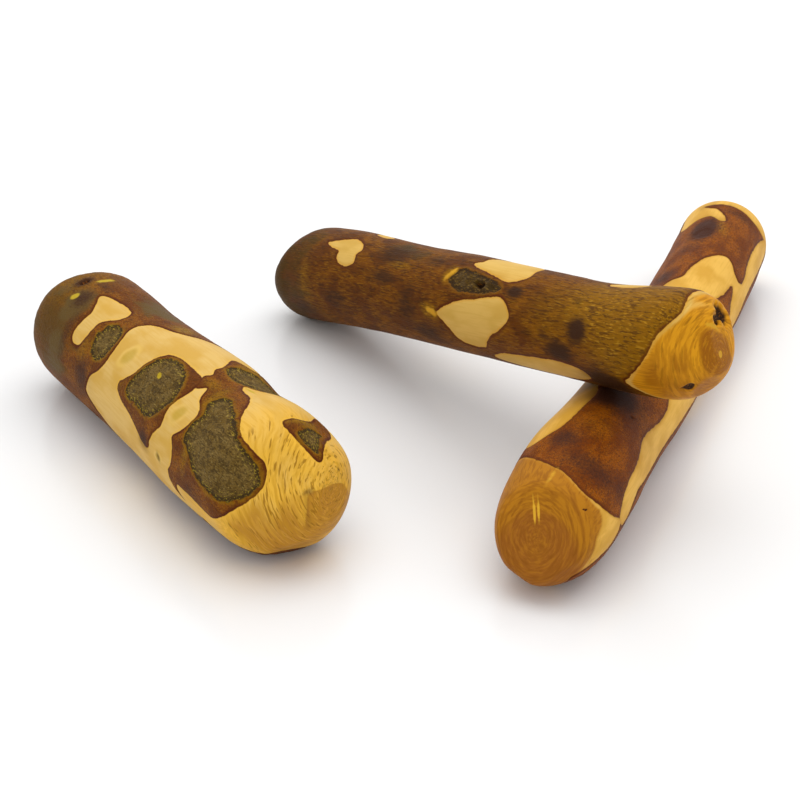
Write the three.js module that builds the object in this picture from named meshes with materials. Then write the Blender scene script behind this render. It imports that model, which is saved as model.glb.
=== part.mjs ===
// Three short, thick twigs with sanded ends. Two lie on the ground and the third leans across one of them.
// Millimetres, +Z up. The origin is on the ground, under the middle of the group's bounding box.
// Each twig is one closed solid, lathed round its own Y axis from its back end to its front end, and then
// sanded, bowed and laid in place. On a twig, +Z is its upper side and +X is its right-hand side, as seen
// from the back end.
import * as THREE from "three";

// Mesh fineness, the same for every twig.
const SIDES = 32;
const CAP_RINGS = 8;
const RING_SPACING = 6;

// How deep the underside of a lying twig is rubbed flat, and how softly a sanded facet runs into the
// round.
const UNDERSIDE_FLAT = 0.4;
const FACET_SOFTNESS = 0.9;

// A twig's sizes, in millimetres and degrees:
//   length    end to end, before sanding
//   girth     [distance from the back end, radius] stations
//   bow       [distance from the back end, to the right, upwards] stations of the middle line
//   caps      depth of each rounded end, and how blunt it is (2 is an ellipse, more is squarer)
//   facets    sanded flats on an end: tilt from the end's own direction, clock angle from the upper side
//             towards the right, and reach from the middle of the cap's base
const THICK_TWIG = {
  name: "thick_twig",
  length: 164,
  girth: [[8, 20.5], [25, 20.9], [45, 20.6], [75, 21.4], [100, 22.2], [118, 21.5], [138, 22.8], [154, 21.9]],
  bow: [[0, -0.4, 0], [25, 0.3, 0], [60, 0.7, 0], [90, 1.3, 0], [118, 2.5, 0], [138, 1.6, 0], [162, 0.6, 0]],
  backCap: { depth: 13, bluntness: 3.2 },
  frontCap: { depth: 22, bluntness: 1.5 },
  facets: [
    { end: "front", tilt: 31, clock: -73, reach: 19.1 },
    { end: "front", tilt: 38, clock: 35, reach: 18.5 },
    { end: "front", tilt: 73, clock: -43, reach: 18.8 },
    { end: "front", tilt: 54, clock: 120, reach: 21.4 },
    { end: "back", tilt: 28, clock: -23, reach: 12.8 },
  ],
};
const LOWER_TWIG = {
  name: "lower_twig",
  length: 262,
  girth: [[13, 16.5], [40, 16.5], [95, 16.3], [150, 16.5], [178, 16.8], [203, 18.2], [218, 18.0], [232, 17.3]],
  bow: [[0, 0, 0], [12, -0.8, 0], [40, -2.2, 0], [95, -2.9, 0], [150, -2.6, 0], [178, -1.1, 0], [252, -0.3, 0]],
  backCap: { depth: 10, bluntness: 2.35 },
  frontCap: { depth: 32, bluntness: 1.6 },
  facets: [
    { end: "front", tilt: 30, clock: 8, reach: 16.2 },
    { end: "front", tilt: 51, clock: -148, reach: 22.0 },
    { end: "front", tilt: 53, clock: 149, reach: 21.8 },
    { end: "back", tilt: 12, clock: 20, reach: 10.2 },
  ],
};
const UPPER_TWIG = {
  name: "upper_twig",
  length: 217,
  girth: [[10, 16.4], [28, 17.1], [48, 16.6], [68, 16.1], [105, 16.1], [145, 15.7], [168, 15.6], [190, 16.5]],
  bow: [[0, 0, 0], [38, 0, 1.3], [75, 0, 0.5], [105, 0, 0], [145, 0, -1.1], [168, 0, -1.6], [190, 0, -0.8],
    [207, 0, 0.3]],
  backCap: { depth: 17, bluntness: 3 },
  frontCap: { depth: 15.5, bluntness: 1.85 },
  facets: [
    { end: "front", tilt: 42, clock: 60, reach: 14.5 },
    { end: "front", tilt: 23, clock: -64, reach: 13.1 },
    { end: "back", tilt: 35, clock: 0, reach: 12.0 },
  ],
};

// Where the twigs lie: the back end's place on the ground, and the heading of the front end, in degrees to the
// left of +X. The upper twig's back end is on the ground, and it climbs to where it rests on the lower twig.
const THICK_PLACE = { back: [-110.5, 23.7], heading: -57.3 };
const LOWER_PLACE = { back: [124.2, 108.1], heading: -110.2 };
const UPPER_PLACE = { back: [-37.1, 78.7], heading: -52.4, climb: 12.7 };

const degrees = THREE.MathUtils.degToRad;

// A smooth curve through [distance, value, value, ...] stations, held level beyond the first and last one.
function alongTwig(stations) {
  const distances = stations.map((station) => station[0]);
  const values = stations.flatMap((station) => station.slice(1));
  const curve = new THREE.CubicInterpolant(distances, values, stations[0].length - 1);
  const last = distances[distances.length - 1];
  return (distance) => [...curve.evaluate(THREE.MathUtils.clamp(distance, distances[0], last))];
}

// The half outline that is lathed: [radius, distance from the back end], from tip to tip.
function outline({ length, girth, backCap, frontCap }) {
  const girthAt = alongTwig(girth);
  const radiusAt = (distance) => girthAt(distance)[0];
  const capPoint = (cap, share) => {
    const angle = (share * Math.PI) / 2;
    const power = 2 / cap.bluntness;
    return { inset: cap.depth * (1 - Math.cos(angle) ** power), share: Math.sin(angle) ** power };
  };
  const points = [];
  for (let ring = 0; ring < CAP_RINGS; ring++) {
    const { inset, share } = capPoint(backCap, ring / CAP_RINGS);
    points.push(new THREE.Vector2(share * radiusAt(backCap.depth), inset));
  }
  const bodyLength = length - backCap.depth - frontCap.depth;
  const bodyRings = Math.round(bodyLength / RING_SPACING);
  for (let ring = 0; ring <= bodyRings; ring++) {
    const distance = backCap.depth + (bodyLength * ring) / bodyRings;
    points.push(new THREE.Vector2(radiusAt(distance), distance));
  }
  for (let ring = CAP_RINGS - 1; ring >= 0; ring--) {
    const { inset, share } = capPoint(frontCap, ring / CAP_RINGS);
    points.push(new THREE.Vector2(share * radiusAt(length - frontCap.depth), length - inset));
  }
  return points;
}

// A sanded facet as a plane on the twig: its outward normal and its distance from the origin.
function facetPlane({ end, tilt, clock, reach }, { length, backCap, frontCap }) {
  const sideways = Math.sin(degrees(tilt));
  const outwards = (end === "front" ? 1 : -1) * Math.cos(degrees(tilt));
  const normal = new THREE.Vector3(
    sideways * Math.sin(degrees(clock)), outwards, sideways * Math.cos(degrees(clock)));
  const capMiddle = new THREE.Vector3(0, end === "front" ? length - frontCap.depth : backCap.depth, 0);
  return { normal, distance: normal.dot(capMiddle) + reach };
}

// Moves a point back to a plane where it stands proud of it, with a soft edge.
function sandDown(point, { normal, distance }) {
  const proud = normal.dot(point) - distance;
  const removed = FACET_SOFTNESS * Math.log(1 + Math.exp(proud / FACET_SOFTNESS));
  point.addScaledVector(normal, -removed);
}

// The twig in its own frame. A lying twig is levelled, so that its underside is one straight flat.
function twigGeometry(twig, lying) {
  const profile = outline(twig);
  const geometry = new THREE.LatheGeometry(profile, SIDES, Math.PI / SIDES);
  const bowAt = alongTwig(twig.bow);
  const radiusAt = alongTwig(twig.girth);
  const planes = twig.facets.map((facet) => facetPlane(facet, twig));
  const floor = restHeight(twig);
  const position = geometry.getAttribute("position");
  const point = new THREE.Vector3();
  for (let i = 0; i < position.count; i++) {
    point.fromBufferAttribute(position, i);
    planes.forEach((plane) => sandDown(point, plane));
    const [right, up] = bowAt(point.y);
    const levelling = lying ? radiusAt(point.y)[0] - UNDERSIDE_FLAT - floor : 0;
    point.x += right;
    point.z += up + levelling;
    if (lying) point.z = Math.max(point.z, -floor);
    position.setXYZ(i, point.x, point.y, point.z);
  }
  geometry.computeVertexNormals();
  return geometry;
}

// Height of a lying twig's middle line over the ground.
function restHeight(twig) {
  return Math.min(...twig.girth.map((station) => station[1])) - UNDERSIDE_FLAT;
}

// Each twig's ground colour, under its own bark pattern.
const BARK = new THREE.MeshStandardMaterial({ color: 0x6f4219, roughness: 0.5, metalness: 0 });
const MOTTLED_BARK = new THREE.MeshStandardMaterial({ color: 0x9a7436, roughness: 0.5, metalness: 0 });
const RED_BARK = new THREE.MeshStandardMaterial({ color: 0x8a4a1e, roughness: 0.5, metalness: 0 });

// A lying twig rests along its flat underside, and a climbing one on the lowest point of its back end.
function twigMesh(twig, place, material) {
  const lying = place.climb === undefined;
  const mesh = new THREE.Mesh(twigGeometry(twig, lying), material);
  mesh.name = twig.name;
  mesh.rotation.order = "ZXY";
  mesh.rotation.set(lying ? 0 : degrees(place.climb), 0, degrees(place.heading - 90));
  mesh.position.set(...place.back, 0);
  mesh.position.z = -new THREE.Box3().setFromObject(mesh, true).min.z;
  return mesh;
}

const twigs = new THREE.Group();
twigs.add(twigMesh(THICK_TWIG, THICK_PLACE, MOTTLED_BARK));
twigs.add(twigMesh(LOWER_TWIG, LOWER_PLACE, RED_BARK));
twigs.add(twigMesh(UPPER_TWIG, UPPER_PLACE, BARK));

// The group is moved so that the origin is under the middle of its bounding box.
const middle = new THREE.Box3().setFromObject(twigs, true).getCenter(new THREE.Vector3());
twigs.position.set(-middle.x, -middle.y, 0);

export default twigs;
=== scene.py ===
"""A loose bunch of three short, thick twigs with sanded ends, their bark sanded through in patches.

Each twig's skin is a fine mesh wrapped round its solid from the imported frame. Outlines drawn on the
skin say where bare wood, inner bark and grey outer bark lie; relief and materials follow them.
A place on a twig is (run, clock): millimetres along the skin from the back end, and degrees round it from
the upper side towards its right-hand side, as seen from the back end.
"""

import math

import bpy
import numpy as np
from bpy.props import FloatProperty, FloatVectorProperty, PointerProperty
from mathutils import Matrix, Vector
from mathutils.bvhtree import BVHTree


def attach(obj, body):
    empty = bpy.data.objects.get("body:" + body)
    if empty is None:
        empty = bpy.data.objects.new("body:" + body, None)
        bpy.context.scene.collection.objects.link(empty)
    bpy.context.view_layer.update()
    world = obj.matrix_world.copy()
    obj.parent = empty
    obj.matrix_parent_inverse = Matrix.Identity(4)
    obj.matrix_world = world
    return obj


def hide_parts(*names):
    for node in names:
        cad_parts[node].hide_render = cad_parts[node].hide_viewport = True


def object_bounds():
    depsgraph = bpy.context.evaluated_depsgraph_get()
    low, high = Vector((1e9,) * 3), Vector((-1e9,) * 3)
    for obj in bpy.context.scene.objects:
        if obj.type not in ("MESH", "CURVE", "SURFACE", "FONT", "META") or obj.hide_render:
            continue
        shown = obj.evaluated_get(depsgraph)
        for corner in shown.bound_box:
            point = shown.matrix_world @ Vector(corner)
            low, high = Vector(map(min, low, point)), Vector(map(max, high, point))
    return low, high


bl_info = {
    "name": "Sanded twigs",
    "version": (1, 0, 0),
    "blender": (4, 5, 0),
    "location": "3D View > Sidebar > Twigs",
    "description": "Three short twigs with sanded ends and bark left in patches, round a packed frame",
    "category": "Add Mesh",
}

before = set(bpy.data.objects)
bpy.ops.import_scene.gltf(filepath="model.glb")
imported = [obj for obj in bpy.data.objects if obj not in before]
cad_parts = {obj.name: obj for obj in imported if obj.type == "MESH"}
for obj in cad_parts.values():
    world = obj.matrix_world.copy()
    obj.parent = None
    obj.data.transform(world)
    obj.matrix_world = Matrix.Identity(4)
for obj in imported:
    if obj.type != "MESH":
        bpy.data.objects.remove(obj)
cad_low, cad_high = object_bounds()

MM = 0.001

# Beyond this many millimetres from an outline its exact distance no longer matters.
FAR = 12.0

# How far along (in millimetres) and round (in degrees) the solid's flat faces are evened out.
EVENED_LENGTH = 2.2
EVENED_TURN = 5

# A sanded flat is looked for in the last millimetres of its own end, and its rim is this soft.
END_LENGTH = 60
FLAT_SOFTNESS = 0.12

# Width of the wood's rings and corners of the round floor.
RING_WIDTH = 1.7
FLOOR_CORNERS = 96


# ---------------------------------------------------------------- noise and curves

def soft_noise(points, width, seed):
    """Smooth noise from -1 to 1 whose bumps are about width wide, at each of the points."""
    scaled = points / width
    cell = np.floor(scaled).astype(np.int64)
    share = scaled - cell
    share = share * share * (3 - 2 * share)
    total = np.zeros(len(points))
    for corner in np.ndindex(2, 2, 2):
        key = (cell + corner) * (73856093, 19349663, 83492791)
        mixed = key[:, 0] ^ key[:, 1] ^ key[:, 2] ^ (seed * 2654435761)
        mixed = (mixed ^ (mixed >> 13)) * 1274126177
        value = ((mixed ^ (mixed >> 16)) & 0xFFFFFF) / 0x7FFFFF - 1
        total += value * np.where(corner, share, 1 - share).prod(axis=1)
    return total


def rounded(points, closed, steps=6):
    """A smooth curve through the points (Catmull-Rom), as a finer list of points."""
    points = np.array(points, float)
    if closed:
        before, after, later = (np.roll(points, turn, axis=0) for turn in (1, -1, -2))
    else:
        before = np.vstack([points[:1], points[:-2]])
        after = points[1:]
        later = np.vstack([points[2:], points[-1:]])
        points = points[:-1]
    curve = []
    for share in np.arange(steps) / steps:
        curve.append(
            points
            + 0.5 * share * (after - before)
            + share**2 * (before - 2.5 * points + 2 * after - 0.5 * later)
            + share**3 * (1.5 * (points - after) + 0.5 * (later - before))
        )
    return np.stack(curve, axis=1).reshape(-1, 2)


def eased(low, high, values):
    """0 below low, 1 above high, and a smooth rise between."""
    share = np.clip((values - low) / (high - low), 0, 1)
    return share * share * (3 - 2 * share)


# ---------------------------------------------------------------- the skin of a twig

class Skin:
    """A fine grid wrapped round one twig of the frame, in millimetres.

    Rows run from the back tip to the front tip and columns run round the twig. Over each rounded end the
    rays fan out from one point, the middle of the end's base, as on a globe.
    """

    def __init__(self, node, spacing, end_depth):
        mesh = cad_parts[node].data
        points = np.array([v.co for v in mesh.vertices]) / MM
        middle = (points.min(0) + points.max(0)) / 2
        spread = np.linalg.svd(points - middle, full_matrices=False)[2]
        along = spread[0] * (-1 if spread[0][1] > 0 else 1)
        right = np.cross(along, (0, 0, 1))
        right /= np.linalg.norm(right)
        up = np.cross(right, along)
        self.axes = np.array([right, along, up])
        places = (points - middle) @ self.axes.T
        self.back = middle + self.axes[1] * places[:, 1].min()
        side, height = ((places[:, i].min() + places[:, i].max()) / 2 for i in (0, 2))
        self.back = self.back + self.axes[0] * side + self.axes[2] * height
        self.length = places[:, 1].max() - places[:, 1].min()
        self.girth = (places[:, 2].max() - places[:, 2].min()) / 2
        self.wrap(node, spacing, end_depth)

    def wrap(self, node, spacing, end_depth):
        """Casts a ray to the solid for each point of the grid, and evens out the solid's flat faces."""
        quarter = 0.25 * math.pi * (end_depth + self.girth)
        cap_rows = round(quarter / spacing)
        body_rows = round((self.length - 2 * end_depth) / spacing)
        body = np.linspace(end_depth, self.length - end_depth, body_rows)
        turn = np.linspace(0, math.pi / 2, cap_rows + 1)[1:]
        lean = np.concatenate([-turn[::-1], np.zeros(len(body)), turn])
        origin = np.concatenate([np.full(cap_rows, body[0]), body, np.full(cap_rows, body[-1])])
        self.run = origin + lean * quarter / (math.pi / 2)
        columns = round(2 * math.pi * self.girth / spacing)
        self.clock = np.linspace(0, 2 * math.pi, columns, endpoint=False)
        facing = np.stack(
            [
                np.outer(np.cos(lean), np.sin(self.clock)),
                np.outer(np.sin(lean), np.ones(columns)),
                np.outer(np.cos(lean), np.cos(self.clock)),
            ],
            axis=-1,
        )
        self.facing = facing @ self.axes
        self.origin = self.back + origin[:, None] * self.axes[1]
        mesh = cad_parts[node].data
        mesh.calc_loop_triangles()
        tree = BVHTree.FromPolygons(
            [v.co / MM for v in mesh.vertices], [t.vertices for t in mesh.loop_triangles]
        )
        reach = np.zeros((len(self.run), columns))
        for row in range(len(self.run)):
            start = Vector(self.origin[row])
            for column in range(columns):
                distance = tree.ray_cast(start, Vector(self.facing[row, column]))[3]
                if distance is None:
                    raise RuntimeError(f"the skin of {node} finds no solid round it")
                reach[row, column] = distance
        self.reach = self.evened(reach, round(EVENED_LENGTH / spacing), round(columns * EVENED_TURN / 360))
        self.places = self.local_places()

    def evened(self, values, row_width, column_width):
        """The grid's values, averaged with their neighbours; rows carry on over each tip."""
        half = values.shape[1] // 2
        margin = 3 * row_width
        before = np.roll(values[1 : margin + 1][::-1], half, axis=1)
        after = np.roll(values[-margin - 1 : -1][::-1], half, axis=1)
        longer = np.vstack([before, values, after])
        shifts = np.arange(-margin, margin + 1)
        weights = np.exp(-0.5 * (shifts / row_width) ** 2)
        weights /= weights.sum()
        rows = len(values)
        smooth = sum(w * longer[margin + s : margin + s + rows] for s, w in zip(shifts, weights))
        shifts = np.arange(-3 * column_width, 3 * column_width + 1)
        weights = np.exp(-0.5 * (shifts / column_width) ** 2)
        weights /= weights.sum()
        return sum(w * np.roll(smooth, s, axis=1) for s, w in zip(shifts, weights))

    def points(self):
        """Every grid point in the row frame, in millimetres."""
        return (self.origin[:, None] + self.reach[..., None] * self.facing).reshape(-1, 3)

    def local_places(self):
        """Every grid point as (right, along, up) of the twig's own straight middle line."""
        return (self.points() - self.back) @ self.axes.T

    def grid_runs(self):
        return np.repeat(self.run, len(self.clock))

    def grid_clocks(self):
        return np.tile(self.clock, len(self.run))

    def grid_girths(self):
        """How far each grid point stands from the middle line."""
        return np.maximum(np.hypot(self.places[:, 0], self.places[:, 2]), 0.5)


# ---------------------------------------------------------------- outlines on the bark

class Outline:
    """A smooth line of (run, clock) points on a skin: a closed patch, or a band all the way round."""

    def __init__(self, points, closed=True):
        self.closed = closed
        points = np.array(points, float)
        points[:, 1] = np.unwrap(points[:, 1], period=360)
        if closed:
            self.line = rounded(points, closed=True)
        else:
            self.line = rounded(np.vstack([points + (0, turn) for turn in (-360, 0, 360)]), closed=False)

    def depth(self, skin):
        """How far inside the outline each grid point is, in millimetres; outside it is negative.

        Inside a band is the stretch beyond it, towards the front end.
        """
        line = self.line * (1, math.pi / 180)
        depth = np.full(skin.reach.size, -FAR)
        every_run = skin.grid_runs()
        near = (every_run > line[:, 0].min() - FAR) & (every_run < line[:, 0].max() + FAR)
        if not self.closed:
            depth[every_run > line[:, 0].max()] = FAR
        runs, clocks, girths = every_run[near], skin.grid_clocks()[near], skin.grid_girths()[near]
        middle = line[:, 1].mean() if self.closed else 0
        clocks = (clocks - middle + math.pi) % (2 * math.pi) - math.pi + middle
        ends = np.roll(line, -1, axis=0) if self.closed else line[1:]
        depth[near] = depth_inside(line, ends, runs, clocks, girths)
        return depth

    def strength_at(self, skin):
        return eased(-1.6, 1.6, self.depth(skin))


class EndPatch:
    """A closed patch on the front end: (right, up) points in millimetres from the middle line."""

    def __init__(self, *points, soft=0.6, strength=1.0):
        self.line = rounded(points, closed=True)
        self.soft, self.strength = soft, strength

    def strength_at(self, skin):
        right, along, up = skin.places.T
        near = along > skin.length - 2 * FAR
        depth = np.full(len(along), -FAR)
        depth[near] = depth_inside(self.line, np.roll(self.line, -1, axis=0), right[near], up[near], 1.0)
        return self.strength * eased(-self.soft, self.soft, depth)


def depth_inside(line, ends, across, up, scale):
    """How far inside a line points lie, negative outside; scale turns the up direction into lengths."""
    nearest = np.full(len(across), np.inf)
    inside = np.zeros(len(across), bool)
    for (across_a, up_a), (across_b, up_b) in zip(line, ends):
        ahead, aside = across_a - across, (up_a - up) * scale
        step, turn = across_b - across_a, (up_b - up_a) * scale
        share = np.clip(-(ahead * step + aside * turn) / (step**2 + turn**2 + 1e-9), 0, 1)
        nearest = np.minimum(nearest, (ahead + share * step) ** 2 + (aside + share * turn) ** 2)
        if up_a != up_b:
            crossing = across_a + (up - up_a) * step / (up_b - up_a)
            inside ^= ((up_a > up) != (up_b > up)) & (crossing < across)
    return np.where(inside, 1, -1) * np.sqrt(nearest)


def patch(*points):
    return Outline(points)


def band(*points):
    return Outline(points, closed=False)


class Spot:
    """A soft round mark: its middle, half its length and width, its strength and its lean in degrees."""

    def __init__(self, run, clock, long, wide, strength=1.0, lean=0):
        self.run, self.clock = run, math.radians(clock)
        self.long, self.wide = long, wide
        self.lean, self.strength = math.radians(lean), strength

    def offset(self, skin):
        """Each grid point's distance from the spot's middle, as a share of the spot's own size."""
        ahead = skin.grid_runs() - self.run
        aside = (skin.grid_clocks() - self.clock + math.pi) % (2 * math.pi) - math.pi
        aside = aside * skin.grid_girths()
        cos, sin = math.cos(self.lean), math.sin(self.lean)
        return np.hypot((ahead * cos + aside * sin) / self.long, (aside * cos - ahead * sin) / self.wide)

    def strength_at(self, skin):
        return self.strength * np.exp(-self.offset(skin) ** 2.5)


class EndSpot(Spot):
    """A soft round mark on the front end, its middle to the right of and above the middle line."""

    def __init__(self, right, up, wide, strength=1.0):
        self.right, self.up, self.wide, self.strength = right, up, wide, strength

    def offset(self, skin):
        right, along, up = skin.places.T
        share = np.hypot(right - self.right, up - self.up) / self.wide
        return np.where(along > skin.length / 2, share, 9.0)


def together(skin, spots):
    """The strongest of several marks at each grid point, less the ones of negative strength."""
    total = np.zeros(skin.reach.size)
    taken = np.zeros(skin.reach.size)
    for spot in spots:
        strength = spot.strength_at(skin)
        total = np.maximum(total, strength)
        taken = np.minimum(taken, strength)
    return total + taken


def layered(skin, start, layers):
    """Depth inside a layer that is laid on or sanded away patch by patch, in the order given."""
    depth = np.full(skin.reach.size, float(start))
    for laid_on, outline in layers:
        inside = outline.depth(skin)
        depth = np.maximum(depth, inside) if laid_on else np.minimum(depth, -inside)
    return depth


# ---------------------------------------------------------------- where the bark is on each twig

ON, OFF = True, False


class Plan:
    """What a twig's plan says if it says nothing else: no marks, and bark all over."""

    bark_at_start = FAR
    rings = weathered = ()


class ThickPlan(Plan):
    """The mottled twig: bark all over, sanded through in big pale patches that leave islands."""

    node, slot, name = "thick_twig", "mottled_bark_wood", "thick_twig_skin"
    end_depth = 18
    seed = 3
    pith = (-8.5, 4.5)
    fibre_stretch = 0.5
    dashes = 0.75
    moss = 0.45
    bark = [
        (OFF, patch(
            (37.5, 63), (41.5, 62), (43, 50), (43.5, 36), (45.5, 28), (49, 20), (50, 12), (48.5, 5),
            (44, 3), (38, 5.5), (33, 9), (31.5, 14), (34.5, 22), (36.5, 32), (36, 46), (35.8, 56)
        )),
        (OFF, patch(
            (52, 98), (53, 86), (55, 77), (59, 68), (61, 58), (61.3, 46), (60.5, 34), (59, 22),
            (59.5, 12), (62, 4), (66, -2), (71, -6), (75.5, -13), (79, -24), (84, -42), (92, -56),
            (101, -52), (103, -38), (99, -24), (102, -14), (104.5, -5), (104.5, 1), (107, 7), (106, 14),
            (109, 26), (112, 20), (114, 30), (118, 38), (118.8, 47), (116.5, 60), (114, 67), (116, 77),
            (116.2, 87), (114, 98), (117, 112), (128, 124), (118, 134), (100, 128), (84, 138), (70, 128),
            (60, 112)
        )),
        (ON, patch(
            (73.8, 63), (75, 70), (80, 75), (87, 79), (93, 86), (98, 92), (101.5, 90), (102.5, 82),
            (104.5, 74), (107, 66), (106.5, 54), (107.5, 44), (109, 34), (108.8, 24), (107, 16),
            (98, 14.5), (90, 14.5), (85, 19), (81.5, 33), (79.5, 47), (76.5, 56)
        )),
        (OFF, band(
            (150, -180), (147, -150), (143, -120), (138, -95), (133, -76), (129, -60), (126, -46),
            (124, -30), (123, -16), (118, -7), (121, -1), (127, 2), (131, 8), (135, 19), (139, 28),
            (143, 33), (148, 35), (152.5, 36), (155, 44), (156.5, 56), (156, 68), (153.5, 80),
            (149.5, 91), (145, 101), (140, 106.5), (133, 104), (126, 102), (119, 103), (121, 116),
            (134, 128), (147, 150)
        )),
        (ON, patch(
            (145.5, 1), (149, 0), (153.5, -6), (157.5, -13), (160, -22), (159.5, -30), (156, -34),
            (151.5, -40), (147, -50), (143, -60), (137, -62), (135, -52), (140, -38), (143.5, -22),
            (144.5, -8)
        )),
        (OFF, patch((20, 168), (34, 160), (45, 170), (50, -172), (42, -158), (28, -160), (18, -175))),
        (OFF, patch((60, -128), (70, -140), (86, -136), (96, -120), (92, -104), (78, -98), (64, -108))),
        (ON, patch((74, -124), (80, -128), (86, -122), (83, -114), (76, -115))),
        (OFF, patch((112, 176), (124, 168), (138, 174), (142, -168), (130, -158), (116, -164))),
    ]
    rind = [
        (ON, patch(
            (50, 59), (54, 63), (58, 57), (59.3, 45), (58.3, 33), (55, 24), (51, 26), (48, 35),
            (47.3, 47)
        )),
        (ON, patch(
            (80, 64), (83, 69), (90, 68), (97, 69), (102, 63), (105.5, 51), (106, 40), (104, 30),
            (100, 21), (93, 18), (87, 20), (84, 29), (81.5, 44), (79.5, 57)
        )),
        (ON, patch(
            (119, 29), (120.5, 18), (125, 15), (130, 20), (137, 29), (144, 37), (150, 42), (154, 51),
            (155.3, 61), (153.5, 73), (149.5, 82), (144, 86), (137, 83), (130, 78), (125.5, 70),
            (120.5, 62), (119.5, 50), (121, 40)
        )),
        (ON, patch(
            (106, -6), (112, -4), (118, -10), (122, -17), (124, -28), (119, -40), (110, -38), (106, -26),
            (104.5, -15)
        )),
        (ON, patch(
            (149.5, -7), (153, -9), (156, -17), (157, -25), (153, -30), (149.5, -36), (146.5, -42),
            (145.5, -34), (147.5, -22), (148.5, -14)
        )),
        (ON, patch((66, 168), (80, 160), (96, 168), (98, -170), (84, -160), (70, -168))),
        (ON, patch(
            (112, -82), (124, -88), (134, -100), (132, -120), (118, -128), (106, -112), (104, -94)
        )),
    ]
    weathered = [
        Spot(20, 62, 15, 17, 0.9), Spot(25, 88, 11, 12, 0.9), Spot(6, 70, 18, 30, 0.7),
        Spot(47, -26, 15, 9, 0.8), Spot(24, -84, 16, 14, 0.8),
    ]
    grey = [
        Spot(27, 36, 7, 8), Spot(28, 84, 6, 9, 0.9), Spot(15, 26, 5, 6, 0.6), Spot(50, -24, 12, 6, 0.9),
        Spot(26, -88, 9, 8, 0.7),
    ]
    stains = [
        EndPatch(
            (0.4, 4.6), (1.5, 1), (1.3, -5.5), (2.7, -5.5), (3, 0), (1.7, 4.6), strength=0.3
        ),
        Spot(168, -44, 0.7, 0.7), Spot(158, -62, 0.6, 0.7), Spot(18, 12, 3.0, 4.2, 0.8),
        Spot(27, 2, 6, 2.5, 0.4), Spot(27, 26, 5, 5, 0.6), Spot(48, 86, 6, 7, 0.6),
        Spot(98, 88, 3.5, 3.5, 0.7), Spot(108.4, 91, 1.6, 0.9, 0.9, lean=60),
        Spot(170.5, 3, 1.0, 2.2, 0.9), Spot(130, 96, 9, 4, 0.35), Spot(32, 60, 3, 12, 0.4),
        Spot(166, -70, 1.2, 0.8, 0.8),
    ]
    golden = [
        Spot(112, 14, 5, 3, 0.45), Spot(118, 22, 3, 8, 0.5), Spot(108, -30, 6, 6, 0.8),
        Spot(143, -14, 3.5, 9, 0.9), Spot(70, -18, 6, 5, 0.6), Spot(124, 60, 3, 14, 0.5),
        Spot(12, 20, 22, 26, 0.42), Spot(45, 62, 5, 6, 0.4), Spot(75, 50, 4, 12, 0.35),
    ]
    flecks = [
        Spot(23, 29, 1.3, 1.9, 0.9, lean=20), Spot(22, -5, 1.2, 3.4, 0.8, lean=15),
        Spot(91.5, 37, 1.5, 0.8, 0.9, lean=30), Spot(122, -6, 4, 0.6, 0.6),
    ]
    rings = [
        Spot(70.5, 41, 3.0, 4.4, lean=35), Spot(112, 50, 2.6, 4.4, lean=30), Spot(108.4, 91, 2.0, 1.3),
    ]
    pits = [Spot(91.5, 37, 1.2, 0.9, 0.3), Spot(170.5, 3, 0.8, 1.8, 0.3)]
    holes = [Spot(18, 12, 1.5, 2.3, 1.1)]
    amber = [
        Spot(160, 20, 26, 40, 0.62), EndSpot(-4, -3, 15, 0.8), Spot(132, 108, 14, 7, 0.45),
        Spot(152, 130, 16, 22, 0.7),
    ]
    hearts = [
        EndPatch(
            (0.3, 4.7), (-4.7, 4.9), (-10.2, 3.6), (-14, 1.0), (-16.5, -6), (-13, -10), (-6, -11),
            (2, -8), (3, -3), (2, 1)
        ),
        Spot(158, 158, 10, 14, 0.75), Spot(152, -118, 10, 8, 0.6), Spot(157, 99, 4, 8, 0.55),
        Spot(151, 111, 5, 7, 0.55), Spot(156, 130, 9, 14, 0.7), Spot(165, 156, 9, 14, 0.8),
    ]
    flats = [
        (1, 31, -73, 0.75), (1, 38, 35, 0.75), (1, 73, -43, 0.35), (1, 54, 120, 0.6), (1, 52, 172, 1.3),
        (-1, 28, -23, 0.3),
    ]


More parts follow.
